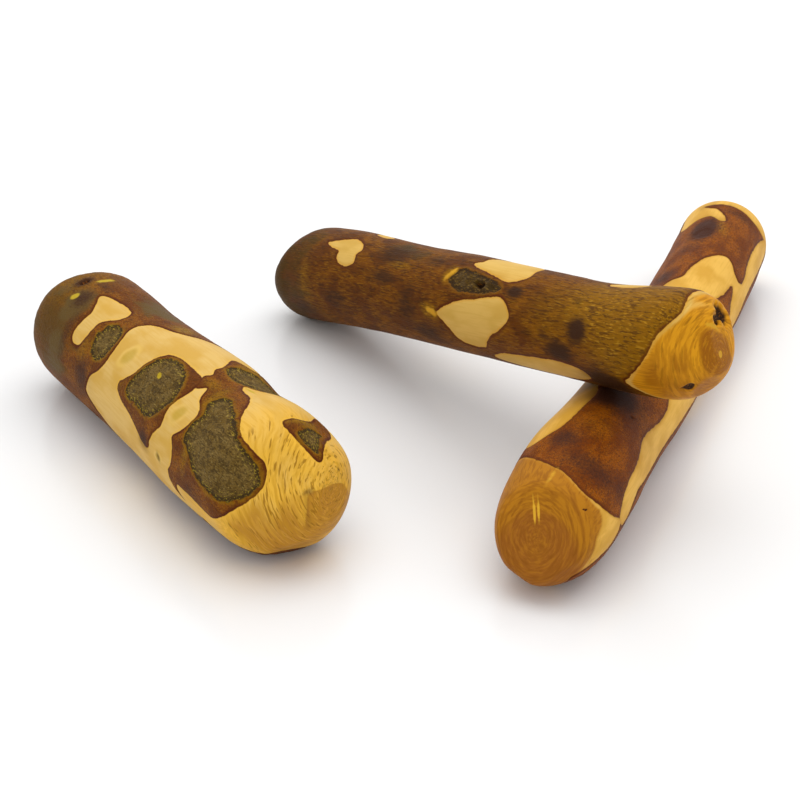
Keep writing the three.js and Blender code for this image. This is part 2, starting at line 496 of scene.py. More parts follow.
class UpperPlan(Plan):
    """The leaning twig: brown fibrous bark with a few pale patches and an oiled, golden front end."""

    node, slot, name = "upper_twig", "brown_bark_wood", "upper_twig_skin"
    end_depth = 14
    seed = 11
    pith = (-1.4, -1.6)
    fibre_stretch = 0.14
    dashes = 0.4
    moss = 0.14
    bark = [
        (OFF, patch(
            (34, 28), (38, 33), (43, 36), (43.5, 43), (46, 51), (50.5, 53.5), (54, 48), (53.5, 41),
            (53, 36), (54, 28), (51.5, 19), (46.5, 13), (42, 17), (38, 22)
        )),
        (OFF, patch((47, -14), (51, -8), (55, -7), (57, -14), (54, -22), (49, -26))),
        (OFF, patch(
            (110.5, 12), (112.5, 4), (112, -6), (114, -20), (120, -33), (130, -32), (136, -18),
            (137.5, 0), (138.5, 16), (136, 26), (131.5, 32), (126, 28), (118, 22), (113, 18)
        )),
        (OFF, patch(
            (103.5, 87), (106.5, 96), (109.5, 106), (112, 117), (118, 123), (124.5, 121), (127, 112),
            (130.5, 101), (134, 95), (138, 84), (139.3, 75), (137, 63), (133, 54.5), (128, 57),
            (121, 63), (115, 67), (109, 75), (105, 82)
        )),
        (OFF, patch(
            (127, 132), (134, 124), (145, 121), (158, 118), (168, 121), (172, 128), (171, 138),
            (160, 150), (145, 153), (132, 146), (126, 140)
        )),
        (OFF, patch((171, -2), (177, 3), (183, 1), (187, -8), (185, -18), (177, -20), (171, -12))),
        (OFF, patch((60, -150), (72, -158), (86, -150), (92, -134), (80, -122), (66, -128))),
        (OFF, patch((146, -96), (160, -104), (170, -96), (166, -80), (152, -76))),
        (OFF, band(
            (204.5, -15), (206, 0), (208, 15), (209, 30), (207.6, 47), (205, 67), (202.4, 87),
            (198.4, 102), (193.5, 115), (190.2, 124), (191.2, 131), (193.6, 140), (196.6, 158),
            (197, -175), (199, -150), (201, -120), (201, -90), (202, -60), (203, -35)
        )),
    ]
    rind = [
        (ON, patch(
            (105, 44), (107.5, 51), (112, 57), (118, 57), (125, 54), (130, 48), (131.5, 42), (128.5, 36),
            (122, 32), (115, 27), (109.5, 26.5), (106, 34)
        )),
        (ON, patch((64, 176), (78, 168), (94, 172), (100, -176), (90, -164), (74, -166))),
    ]
    stains = [
        Spot(87, 86, 7, 9, 0.5), Spot(45, 95, 8, 5, 0.5), Spot(72, 57, 9, 3, 0.6, lean=5),
        Spot(71, 25, 11, 5, 0.6), Spot(94, 22, 8, 4, 0.45), Spot(171, 76, 5, 4.5, 0.85),
        Spot(163, 104, 7, 4, 0.8), Spot(96, 116, 9, 5, 0.6), Spot(138, 44, 4.2, 2.4, 0.85),
        Spot(156, 88, 4, 2, 0.45, lean=40), Spot(180, 135, 12, 6, 0.9), Spot(24, 118, 8, 5, 0.5),
        Spot(121, 43, 5, 2.4),
    ]
    weathered = [Spot(5, 76, 25, 46), Spot(5, -90, 20, 30, 0.8), Spot(74, 12, 17, 5, 0.55, lean=4)]
    grey = [Spot(74, 12, 12, 3.5, 0.7, lean=4), Spot(112, 40, 8, 6, 0.5)]
    golden = [
        Spot(196, 62, 22, 24), Spot(178, 40, 22, 16, 0.8), Spot(160, 60, 18, 16, 0.45),
        Spot(104.5, 38, 3, 4, 0.8), Spot(78, 38, 8, 2, 0.6), Spot(100, 86, 5.5, 2.6, lean=12),
        Spot(28, 84, 5, 12, 0.5),
    ]
    flecks = [
        EndSpot(-1.5, -1.7, 1.0, 1.0), Spot(105, 37, 1.4, 3.6, 0.6, lean=25),
        Spot(218, -6, 0.8, 3.4, 0.7, lean=20), Spot(101, 86.5, 4.2, 1.3, 0.6, lean=14),
    ]
    pits = [Spot(126, 44, 2.2, 1.0, 1.2)]
    holes = [
        Spot(121, 43, 2.8, 1.3, 2.2), Spot(211.4, 141, 2.3, 1.5, 0.5, lean=20),
        Spot(211.5, -46, 3.6, 4.4, 2.4), Spot(215.5, -24, 2.2, 2.0, 1.8),
    ]
    amber = [
        band(
            (207, -15), (207.5, 0), (208.8, 15), (209.6, 30), (208.2, 47), (205.6, 67), (203, 87),
            (199.4, 102), (195.5, 115), (193.5, 126), (196, 140), (199, 158), (199, -175), (202, -120),
            (204, -60)
        ),
        # This negative spot takes the amber off in a pale streak across the top of the front end: a
        # painted highlight.
        Spot(208.5, 22, 2.6, 10, -0.85, lean=20),
    ]
    hearts = [
        EndPatch(
            (5.5, 4), (2, 7), (-3, 4.5), (-7.5, 1), (-7.5, -5), (-4, -8.5), (2, -7.5), (6, -3), soft=2.0,
            strength=0.8
        ),
        # The spot at run 204, clock 110 browns the lower right of the front end as painted shade.
        Spot(204, 110, 6, 9, 0.5, lean=30), Spot(207, 140, 10, 9, 0.55), Spot(212, 170, 8, 9, 0.6),
        Spot(208, 84, 4, 7, 0.35), Spot(212, 96, 5, 6, 0.5),
    ]
    flats = [(1, 42, 60, 0.6), (1, 23, -64, 0.5), (1, 45, 175, 0.8), (-1, 35, 0, 0.25)]


class LowerPlan(Plan):
    """The long twig: red-brown bark over cream wood, worn through along both sides."""

    node, slot, name = "lower_twig", "red_bark_wood", "lower_twig_skin"
    end_depth = 16
    seed = 23
    pith = (1.6, 1.4)
    fibre_stretch = 0.7
    dashes = 0.35
    moss = 0.2
    bark_at_start = -FAR
    bark = [
        (ON, band(
            (5, -180), (8, -120), (13, -80), (14.5, -50), (12.8, -25), (12.2, 0), (12.5, 30), (11, 70),
            (7, 120)
        )),
        (OFF, patch(
            (15.5, 22), (17, 10), (20, 0), (24, -9), (27.5, -12), (28.5, -5), (26, 5), (24.5, 14),
            (25.5, 25), (27.5, 36), (30, 46), (27, 60), (15, 68), (4, 60), (4, 42), (12, 32)
        )),
        (OFF, patch(
            (55, -40), (57, -30), (61, -20), (66, -12), (73, -5), (80, -2), (83, 4), (85, 13), (90, 22),
            (99, 18), (104, 2), (104, -22), (97, -42), (86, -54), (78, -60), (71, -62), (68, -65),
            (71, -70), (77, -76), (83, -84), (100, -78), (120, -70), (142, -62), (156, -62), (164, -71),
            (172, -72), (180, -67), (186, -63), (193, -61), (199, -65), (206, -68), (214, -70),
            (220, -75), (224, -83), (225.5, -92), (221, -106), (216, -105), (212, -96), (207, -90),
            (200, -94), (190, -99), (180, -102), (168, -103), (148, -104), (120, -108), (100, -111),
            (80, -108), (66, -104), (58, -98), (48, -96), (36, -97), (26, -99), (18, -103), (12, -97),
            (12, -82), (17, -74), (25, -69), (35, -67), (46, -70), (53, -75), (59, -75), (61.5, -68),
            (60, -58), (56.5, -49)
        )),
        (OFF, patch(
            (174, 16), (180, 11), (190, 12), (200, 13), (208, 18), (212, 28), (214.5, 41), (213, 54),
            (206, 68), (190, 78), (172, 74), (150, 62), (136, 44), (138, 30), (150, 24), (164, 24)
        )),
        (OFF, band(
            (225, -92), (230, -80), (233, -68), (235.3, -52), (236, -38), (235, -24), (232.5, -8),
            (230.5, 8), (228, 22), (224.5, 36), (220, 52), (217, 68), (220, 84), (228, 104), (236, 130),
            (240, 160), (240, -170), (246, -150), (248, -134), (245, -123), (238, -115), (230, -112),
            (225, -104)
        )),
        (OFF, patch((36, 120), (50, 110), (66, 112), (78, 124), (72, 140), (54, 146), (38, 138))),
        (OFF, patch((110, 96), (126, 88), (140, 96), (142, 112), (128, 122), (112, 114))),
        (OFF, patch(
            (170, 150), (186, 140), (204, 146), (212, 164), (204, -176), (184, -174), (168, 170)
        )),
        (OFF, patch((90, -150), (104, -160), (120, -156), (126, -140), (112, -132), (94, -136))),
    ]
    rind = [(ON, patch((100, 150), (114, 144), (128, 152), (130, 168), (116, 176), (100, 168)))]
    grey = [Spot(34, 10, 5, 2.4, 0.8), Spot(40, 8, 3, 1.6, 0.7)]
    stains = [
        Spot(38, 9, 11, 5.2), Spot(56, 14, 6, 5, 0.4), Spot(80, 30, 8, 5, 0.6), Spot(18, -28, 4, 9, 0.5),
        Spot(181, -8, 9, 10, 0.9), Spot(170, 28, 10, 6, 0.6), Spot(216, 8, 6, 6, 0.6),
        Spot(225, -30, 6, 12, 0.55), Spot(222, -66, 6, 5, 0.45), Spot(12, 20, 4, 10, 0.4),
        Spot(188, -38, 1.2, 1.0, 0.6),
    ]
    golden = [Spot(205, -12, 9, 9, 0.35), Spot(34, -12, 9, 3, 0.7, lean=-20), Spot(160, 0, 14, 6, 0.4)]
    flecks = [
        Spot(247.4, 24, 6.2, 0.42, 0.75, lean=4), Spot(247.2, 15, 6.4, 0.4, 0.7),
        Spot(235, 3, 6, 1.0, 0.3, lean=12),
    ]
    pits = [Spot(42, 8, 6, 4, 0.4), Spot(188, -38, 1.0, 0.8, 0.3)]
    holes = [Spot(240.8, -48, 1.2, 0.45, 0.25, lean=40)]
    amber = [
        band(
            (242, -170), (247, -150), (248.5, -134), (246, -110), (243.5, -97), (241.5, -84),
            (237.5, -74), (236, -63), (236.4, -52), (236.6, -38), (235.6, -24), (233, -8), (231, 8),
            (228.6, 22), (225, 36), (220.5, 52), (217.5, 68), (220.5, 84), (228.5, 104), (236.5, 130),
            (241, 160)
        ),
    ]
    hearts = [
        EndPatch(
            (2, 9), (-5, 7), (-10, 3), (-12, -4), (-10, -12), (0, -15), (10, -12), (13, -3), (10, 5),
            soft=3.0, strength=0.8
        ),
        EndPatch(
            (1.5, 4.5), (-2.5, 2), (-3, -2.5), (0, -5), (3.5, -4), (5, 0), soft=1.2, strength=-0.25
        ),
    ]
    flats = [
        (1, 30, 8, 0.7), (1, 51, -148, 0.4), (1, 53, 149, 0.4), (1, 45, -122, 0.9), (-1, 12, 20, 0.3),
    ]


# ---------------------------------------------------------------- relief

def shape_relief(skin, plan, size):
    """Bark layers, knots, pits and sanding marks, raised or cut into the skin; returns the mark fields."""
    places = skin.places
    layers = {
        "bark_edge": layered(skin, plan.bark_at_start, plan.bark),
        "rind_edge": layered(skin, -FAR, plan.rind),
        "stain": together(skin, plan.stains),
        "golden": together(skin, plan.golden),
        "amber": together(skin, plan.amber),
        "heart": together(skin, plan.hearts),
        "fleck": together(skin, plan.flecks),
        "weathered": together(skin, plan.weathered),
        "grey": together(skin, plan.grey),
        "knot_ring": together_rings(skin, plan.rings),
        "hole": np.zeros(len(places)),
    }
    sand_flats(skin, plan)
    on_bark = eased(-0.2, 0.8, layers["bark_edge"])
    on_rind = eased(-0.6, 1.0, layers["rind_edge"]) * on_bark
    fibres = places * (1, 0.18, 1)
    lift = size.waviness / MM * soft_noise(places, 15, plan.seed)
    lift += size.bark_relief / MM * on_bark * (0.35 + 0.5 * soft_noise(fibres, 1.3, plan.seed + 1))
    lift -= size.bark_relief / MM * 0.8 * np.exp(-((layers["bark_edge"] / 0.45) ** 2))
    lift -= size.rind_relief / MM * on_rind * (1.0 + 0.45 * soft_noise(places, 1.1, plan.seed + 2))
    lift -= size.rind_relief / MM * on_rind * 0.5 * np.abs(soft_noise(places, 3.2, plan.seed + 3))
    for spot in plan.rings:
        lift += 0.1 * np.exp(-((spot.offset(skin) - 0.9) / 0.25) ** 2)
    for spot in plan.pits + plan.holes:
        share = spot.offset(skin)
        ragged = share * (1 + 0.35 * soft_noise(places, 1.4, plan.seed + 4))
        sunk = 1 - eased(0.45, 1.1, ragged)
        lift -= spot.strength * sunk
        lift += 0.1 * spot.strength * np.exp(-((share - 1.35) / 0.3) ** 2)
        if spot in plan.holes:
            layers["hole"] = np.maximum(layers["hole"], sunk)
    skin.reach += lift.reshape(skin.reach.shape)
    return layers


def sand_flats(skin, plan):
    """Sands flats into the ends, each down to a plane a little below the skin's proudest point that way.

    A flat is its end (1 is the front), its tilt from that end's direction, its clock and its depth.
    """
    for end, tilt, clock, depth in plan.flats:
        tilt, clock = math.radians(tilt), math.radians(clock)
        sideways = math.sin(tilt)
        normal = (sideways * math.sin(clock), end * math.cos(tilt), sideways * math.cos(clock)) @ skin.axes
        proud = skin.points() @ normal
        along = skin.places[:, 1]
        near = along > skin.length - END_LENGTH if end > 0 else along < END_LENGTH
        over = proud - (proud[near].max() - depth)
        over[~near] = -FAR
        removed = FLAT_SOFTNESS * np.log1p(np.exp(over / FLAT_SOFTNESS))
        towards = skin.facing.reshape(-1, 3) @ normal
        skin.reach -= (removed / np.maximum(towards, 0.3)).reshape(skin.reach.shape)


def together_rings(skin, spots):
    """How far out each grid point is from the nearest knot: 0 in its middle, 1 well outside its rim."""
    total = np.ones(skin.reach.size)
    for spot in spots:
        share = spot.offset(skin) * (1 + 0.3 * soft_noise(skin.places, 3.5, 5))
        total = np.minimum(total, share / 1.6)
    return total


# ---------------------------------------------------------------- from skin to mesh

def build_mesh(name, skin, marks):
    """The skin's grid as a closed mesh that carries its marks, each of its tips drawn into one point."""
    rows, columns = len(skin.run), len(skin.clock)
    points = skin.points()
    points[:, 2] = np.maximum(points[:, 2], cad_low[2] / MM)
    grid = np.arange((rows - 2) * columns).reshape(rows - 2, columns)
    turned = np.roll(grid, -1, axis=1)
    quads = np.stack([grid[:-1], turned[:-1], turned[1:], grid[1:]], axis=-1).reshape(-1, 4)
    back, front = grid.size, grid.size + 1
    faces = [tuple(quad) for quad in quads.tolist()]
    faces += [(back, b, a) for a, b in zip(grid[0].tolist(), turned[0].tolist())]
    faces += [(front, a, b) for a, b in zip(grid[-1].tolist(), turned[-1].tolist())]
    mesh = bpy.data.meshes.new(name)
    mesh.from_pydata((with_tips(points, columns) * MM).tolist(), [], faces)
    mesh.shade_smooth()
    for mark, values in marks.items():
        kind, key = ("FLOAT_VECTOR", "vector") if values.ndim == 2 else ("FLOAT", "value")
        layer = mesh.attributes.new(mark, kind, "POINT")
        layer.data.foreach_set(key, with_tips(values, columns).astype(np.float32).ravel())
    return mesh


def with_tips(values, columns):
    """Grid values whose two outermost rows become one averaged tip each, at the end of the list."""
    back, front = values[:columns].mean(0), values[-columns:].mean(0)
    return np.concatenate([values[columns:-columns], [back], [front]])


def grain_marks(skin, plan):
    """Where each point lies in the wood: its place, how far from the pith, and how cut-across it is."""
    right, along, up = skin.places.T
    pith_right, pith_up = plan.pith
    radius = np.hypot(right - pith_right, up - pith_up)
    turn = np.arctan2(right - pith_right, up - pith_up)
    grid = skin.points().reshape(len(skin.run), len(skin.clock), 3)
    lengthwise = np.gradient(grid, axis=0)
    around = np.roll(grid, -1, axis=1) - np.roll(grid, 1, axis=1)
    normal = np.cross(around, lengthwise)
    normal /= np.linalg.norm(normal, axis=-1, keepdims=True) + 1e-9
    return {
        "place": skin.places,
        "ringwise": np.stack([radius, skin.girth * np.sin(turn), skin.girth * np.cos(turn)], axis=-1),
        "radius": radius,
        "end_grain": np.abs(normal @ skin.axes[1]).ravel(),
    }


# ---------------------------------------------------------------- materials

class Recipe:
    """A material being mixed: each method adds a node or two and gives the result to the next."""

    def __init__(self, name):
        self.material = bpy.data.materials.new(name)
        self.material.use_nodes = True
        self.tree = self.material.node_tree
        self.shader = self.tree.nodes["Principled BSDF"]
        self.colour = None

    def add(self, kind, values, **settings):
        node = self.tree.nodes.new(kind)
        for setting, value in settings.items():
            setattr(node, setting, value)
        for socket, value in values.items():
            self.feed(node, socket, value)
        return node

    def feed(self, node, socket, value):
        """Puts a number, a colour or another node's result into a socket."""
        if isinstance(value, bpy.types.NodeSocket):
            self.tree.links.new(value, node.inputs[socket])
        else:
            node.inputs[socket].default_value = value

    def mark(self, name):
        return self.add("ShaderNodeAttribute", {}, attribute_name=name).outputs["Fac"]

    def stretched(self, name, x, y, z):
        """A mark of the skin that is a place, with its three directions scaled."""
        place = self.add("ShaderNodeAttribute", {}, attribute_name=name).outputs["Vector"]
        return self.add("ShaderNodeVectorMath", {0: place, 1: (x, y, z)}, operation="MULTIPLY").outputs[0]

    def noise(self, place, width, detail=2.0, distortion=0.0):
        """Soft noise from 0 to 1 whose bumps are about width millimetres wide."""
        values = {"Vector": place, "Scale": 1 / width, "Detail": detail, "Distortion": distortion}
        return self.add("ShaderNodeTexNoise", values).outputs["Fac"]

    def rise(self, value, low, high):
        """0 below low, 1 above high, and a smooth rise between; it falls where high is below low."""
        values = {"Value": value, "From Min": low, "From Max": high}
        return self.add("ShaderNodeMapRange", values, interpolation_type="SMOOTHSTEP").outputs["Result"]

    def work(self, operation, *values):
        return self.add("ShaderNodeMath", dict(enumerate(values)), operation=operation).outputs[0]

    def times(self, *values):
        result = values[0]
        for value in values[1:]:
            result = self.work("MULTIPLY", result, value)
        return result

    def plus(self, value, other, share=1.0):
        """The value, with a share of the other added."""
        return self.work("MULTIPLY_ADD", other, share, value)

    def swayed(self, value, noise, share):
        """The value, pushed up and down by a share of the noise."""
        return self.plus(value, self.plus(-0.5, noise), share)

    def blend(self, share, value, other):
        return self.add("ShaderNodeMix", {0: share, 2: value, 3: other}).outputs[0]

    def mix(self, share, colour, other):
        values = {0: share, 6: with_alpha(colour), 7: with_alpha(other)}
        return self.add("ShaderNodeMix", values, data_type="RGBA").outputs[2]

    def coat(self, share, colour):
        """Lays a share of a colour over the colour mixed so far."""
        self.colour = self.mix(share, self.colour, colour)


def with_alpha(colour):
    return colour if isinstance(colour, bpy.types.NodeSocket) else (*colour, 1)


def mix_wood(recipe, finish, plan, edge):
    """Sanded wood: cream and yellow clouds, long fibres, and rings and pores where it is cut across."""
    end_grain = recipe.rise(recipe.mark("end_grain"), 0.06, 0.5)
    clouds = recipe.noise(recipe.stretched("place", 1, 0.45, 1), 9, detail=3)
    recipe.colour = recipe.mix(recipe.rise(clouds, 0.4, 0.62), finish.wood, finish.wood_deep)
    fibres = recipe.noise(recipe.stretched("place", 1, 0.05, 1), 0.6)
    streaks = recipe.noise(recipe.stretched("ringwise", 1, 0.09, 0.09), 0.7, detail=4)
    lines = recipe.blend(end_grain, fibres, streaks)
    strength = recipe.plus(0.35, end_grain, 0.45)
    recipe.coat(recipe.times(recipe.rise(lines, 0.48, 0.62), strength), finish.wood_deep)
    wander = recipe.noise(recipe.stretched("place", 1, 0.2, 1), 6)
    phase = recipe.plus(recipe.times(recipe.mark("radius"), 2 * math.pi / RING_WIDTH), wander, 14.0)
    rings = recipe.times(recipe.rise(recipe.work("SINE", phase), 0.1, 1.0), end_grain)
    recipe.coat(recipe.times(rings, 0.3), finish.wood_deep)
    patchy = recipe.noise(recipe.stretched("ringwise", 1, 0.25, 0.25), 3.2, detail=4)
    # Where the amber mark is negative the pale wood shows through; on the upper twig's front end that pale
    # streak is a painted highlight.
    amber = recipe.rise(recipe.plus(recipe.mark("amber"), patchy, 0.9), 0.45, 1.25)
    recipe.coat(amber, finish.amber)
    # The heart mark is brown end grain; on the upper twig's front end its spot at clock 110 is painted
    # shade.
    heart = recipe.rise(recipe.plus(recipe.mark("heart"), patchy, 0.5), 0.4, 0.95)
    pale_lines = recipe.plus(1.0, recipe.rise(lines, 0.5, 0.38), -0.35)
    recipe.coat(recipe.times(heart, pale_lines), finish.heart)
    tanned = recipe.work("MAXIMUM", amber, heart)
    recipe.coat(recipe.times(tanned, recipe.rise(lines, 0.46, 0.62), 0.5), finish.amber_deep)
    recipe.coat(recipe.times(rings, tanned, 0.35), finish.amber_deep)
    dashes = recipe.noise(recipe.stretched("ringwise", 1, 0.09, 0.09), 0.55, detail=2)
    dashes = recipe.times(recipe.rise(dashes, 0.575, 0.65), plan.dashes)
    recipe.coat(recipe.times(dashes, recipe.rise(end_grain, 0.2, 0.75)), finish.pore)
    near_bark = recipe.times(recipe.rise(edge, -1.1, 0.0), 0.45)
    recipe.coat(near_bark, finish.amber)
    knots = recipe.mark("knot_ring")
    middle = recipe.rise(knots, 0.66, 0.25)
    rim = recipe.times(recipe.rise(knots, 0.35, 0.62), recipe.rise(knots, 0.95, 0.62))
    rim = recipe.times(rim, recipe.rise(clouds, 0.35, 0.6))
    recipe.coat(recipe.times(middle, 0.6), finish.wood_olive)
    recipe.coat(recipe.times(rim, 0.35), finish.wood_pale)
    stain = recipe.times(recipe.mark("stain"), recipe.rise(clouds, 0.3, 0.6), 0.9)
    recipe.coat(stain, finish.stain)
    height = recipe.times(lines, recipe.plus(0.15, end_grain, 0.9))
    return recipe.colour, height


def mix_bark(recipe, finish, plan, edge):
    """Inner bark: fibres, warm and dark clouds, a dark line along its edge, golden and stained places."""
    along = recipe.stretched("place", 1, plan.fibre_stretch, 1)
    fibres = recipe.noise(along, 0.62, detail=4, distortion=0.7)
    fine = recipe.noise(along, 0.36, detail=3)
    clouds = recipe.noise(recipe.stretched("place", 1, 0.5, 1), 5.5, detail=4)
    recipe.colour = recipe.mix(recipe.rise(clouds, 0.4, 0.62), finish.bark, finish.bark_warm)
    golden = recipe.rise(recipe.mark("golden"), 0.1, 0.8)
    recipe.coat(golden, finish.golden)
    recipe.coat(recipe.times(recipe.rise(fibres, 0.47, 0.62), 0.65), finish.bark_dark)
    light = recipe.times(recipe.rise(fine, 0.52, 0.64), recipe.rise(clouds, 0.3, 0.55), 0.6)
    recipe.coat(light, finish.bark_light)
    glints = recipe.times(recipe.rise(recipe.noise(along, 0.45, detail=2), 0.56, 0.68), golden, 0.4)
    recipe.coat(glints, finish.fleck)
    weathered = recipe.rise(recipe.swayed(recipe.mark("weathered"), clouds, 2.2), 0.2, 0.95)
    recipe.coat(recipe.times(weathered, 0.85), finish.weathered)
    grey = recipe.rise(recipe.swayed(recipe.mark("grey"), clouds, 1.2), 0.2, 0.75)
    dull = recipe.mix(0.45, finish.rind, finish.rind_dark)
    recipe.coat(recipe.times(grey, 0.8), dull)
    stain = recipe.rise(recipe.swayed(recipe.mark("stain"), fibres, 0.5), 0.05, 0.75)
    recipe.coat(stain, finish.stain)
    line = recipe.rise(recipe.plus(edge, clouds, -1.6), 0.5, -0.5)
    patchy = recipe.rise(recipe.noise(recipe.stretched("place", 1, 1, 1), 9), 0.35, 0.6)
    recipe.coat(recipe.times(line, recipe.plus(0.62, patchy, 0.38)), finish.edge_line)
    height = recipe.plus(fibres, fine, 0.6)
    return recipe.colour, height


def mix_rind(recipe, finish, plan, edge):
    """Outer bark: grey-green and gritty, with dark cracks, and a dark rim with mossy specks."""
    grit = recipe.noise(recipe.stretched("place", 1, 0.4, 1), 0.42, detail=4)
    specks = recipe.noise(recipe.stretched("place", 1, 0.35, 1), 0.45, detail=3)
    cracks = recipe.noise(recipe.stretched("place", 1, 0.4, 1), 1.3, detail=5, distortion=0.8)
    clouds = recipe.noise(recipe.stretched("place", 1, 1, 1), 4, detail=3)
    recipe.colour = recipe.mix(recipe.rise(clouds, 0.38, 0.6), finish.rind, finish.rind_olive)
    recipe.coat(recipe.times(recipe.rise(grit, 0.46, 0.62), 0.6), finish.rind_dark)
    recipe.coat(recipe.times(recipe.rise(cracks, 0.5, 0.6), 0.5), finish.rind_dark)
    recipe.coat(recipe.times(recipe.rise(specks, 0.58, 0.7), 0.55), finish.rind_pale)
    recipe.coat(recipe.times(recipe.rise(edge, 2.2, 0.4), 0.9), finish.rind_dark)
    moss = recipe.times(recipe.rise(edge, 3.8, 1.0), recipe.rise(specks, 0.55, 0.63), plan.moss)
    recipe.coat(moss, finish.fleck)
    height = recipe.plus(recipe.times(grit, 2.0), cracks, -1.6)
    return recipe.colour, height


def twig_material(plan, finish):
    """Wood, inner bark and outer bark over each other, as the marks on the skin say."""
    recipe = Recipe(plan.slot)
    wobble = recipe.noise(recipe.stretched("place", 1, 1, 1), 2.2, detail=3)
    wander = recipe.noise(recipe.stretched("place", 1, 0.7, 1), 5.5, detail=2)
    bark_edge = recipe.swayed(recipe.mark("bark_edge"), wobble, 0.9)
    rind_edge = recipe.swayed(recipe.swayed(recipe.mark("rind_edge"), wobble, 2.0), wander, 2.0)
    on_bark = recipe.rise(bark_edge, -0.12, 0.14)
    on_rind = recipe.times(recipe.rise(rind_edge, -0.3, 0.3), recipe.rise(bark_edge, 0.3, 0.7))
    halo = recipe.times(recipe.rise(rind_edge, -1.5, -0.2), on_bark, recipe.rise(wobble, 0.3, 0.52), 0.75)
    wood, wood_height = mix_wood(recipe, finish, plan, bark_edge)
    bark, bark_height = mix_bark(recipe, finish, plan, bark_edge)
    rind, rind_height = mix_rind(recipe, finish, plan, rind_edge)
    bark = recipe.mix(halo, bark, finish.rind_halo)
    recipe.colour = recipe.mix(on_rind, recipe.mix(on_bark, wood, bark), rind)
    fleck = recipe.rise(recipe.plus(recipe.mark("fleck"), wobble, 0.6), 0.45, 0.85)
    recipe.coat(fleck, finish.fleck)
    splinters = recipe.noise(recipe.stretched("place", 1, 0.25, 1), 0.5, detail=2)
    splinters = recipe.times(recipe.rise(splinters, 0.5, 0.64), 0.7)
    hollow = recipe.mix(splinters, finish.hole, finish.bark_warm)
    recipe.coat(recipe.rise(recipe.mark("hole"), 0.15, 0.6), hollow)
    height = recipe.blend(on_rind, recipe.blend(on_bark, wood_height, bark_height), rind_height)
    rough = recipe.blend(on_rind, recipe.blend(on_bark, 0.42, 0.46), 0.55)
    rough = recipe.plus(rough, wobble, 0.1)
    grain = {"Strength": 0.8, "Distance": finish.grain_depth, "Height": height}
    bump = recipe.add("ShaderNodeBump", grain)
    recipe.feed(recipe.shader, "Base Color", recipe.colour)
    recipe.feed(recipe.shader, "Roughness", rough)
    recipe.feed(recipe.shader, "Normal", bump.outputs["Normal"])
    recipe.feed(recipe.shader, "Specular IOR Level", finish.gloss)
    return recipe.material


def floor_material(stage):
    recipe = Recipe("studio_floor")
    recipe.feed(recipe.shader, "Base Color", with_alpha(stage.floor_colour))
    recipe.feed(recipe.shader, "Roughness", 0.22)
    return recipe.material


# ---------------------------------------------------------------- what a user can change

def colour_setting(name, description, *default):
    return FloatVectorProperty(
        name=name, description=description, default=default, subtype="COLOR", size=3, min=0, max=1
    )


def length_setting(name, description, default):
    return FloatProperty(
        name=name, description=description, default=default, min=0, unit="LENGTH", precision=5
    )


def amount_setting(name, description, default):
    return FloatProperty(name=name, description=description, default=default, min=0, max=1)


def place_setting(name, description, *default):
    return FloatVectorProperty(
        name=name, description=description, default=default, subtype="TRANSLATION", unit="LENGTH"
    )


class TwigSizes(bpy.types.PropertyGroup):
    spacing: length_setting("Skin spacing", "Distance between the points of a twig's skin", 0.0006)
    waviness: length_setting("Waviness", "Height of the hand-sanded unevenness", 0.00015)
    bark_relief: length_setting("Bark relief", "How far inner bark stands above sanded wood", 0.00016)
    rind_relief: length_setting("Outer bark relief", "Roughness of the grey outer bark", 0.00022)


FINISH_COLOURS = {
    "wood": ("Wood", "Sanded wood"),
    "wood_deep": ("Deep wood", "Yellower wood and its rings"),
    "wood_pale": ("Pale wood", "Pale streaks and knot rims"),
    "wood_olive": ("Olive wood", "Middles of small knots"),
    "amber": ("Amber", "Wood tanned at the sanded ends"),
    "amber_deep": ("Deep amber", "Streaks in the tanned wood"),
    "heart": ("Heartwood", "Brown end grain in the middle"),
    "pore": ("Pores", "Dark dashes on the cut ends"),
    "bark": ("Inner bark", "Inner bark"),
    "bark_warm": ("Warm bark", "Warmer clouds in the inner bark"),
    "bark_dark": ("Dark fibres", "Dark fibres in the inner bark"),
    "bark_light": ("Light fibres", "Light fibres in the inner bark"),
    "edge_line": ("Edge line", "Dark line along the edge of the bark"),
    "golden": ("Golden bark", "Bark sanded thin"),
    "stain": ("Stain", "Dark stained places"),
    "weathered": ("Weathered bark", "Dull olive clouds in the inner bark"),
    "rind": ("Outer bark", "Grey outer bark"),
    "rind_olive": ("Olive outer bark", "Greener clouds in the outer bark"),
    "rind_pale": ("Outer bark grit", "Pale grit on the outer bark"),
    "rind_dark": ("Outer bark cracks", "Cracks and rim of the outer bark"),
    "rind_halo": ("Halo", "Ochre ring round the outer bark"),
    "fleck": ("Flecks", "Small bright flecks"),
    "hole": ("Holes", "Inside of holes and dead knots"),
}


def finish_settings(**defaults):
    """A twig's finish: the colours of FINISH_COLOURS, the depth of its grain and its gloss."""
    settings = {name: colour_setting(*words, *defaults[name]) for name, words in FINISH_COLOURS.items()}
    settings["grain_depth"] = length_setting("Grain depth", "Depth of the fine grain", 0.0003)
    settings["gloss"] = amount_setting("Gloss", "Strength of the satin shine", 0.055)
    return settings


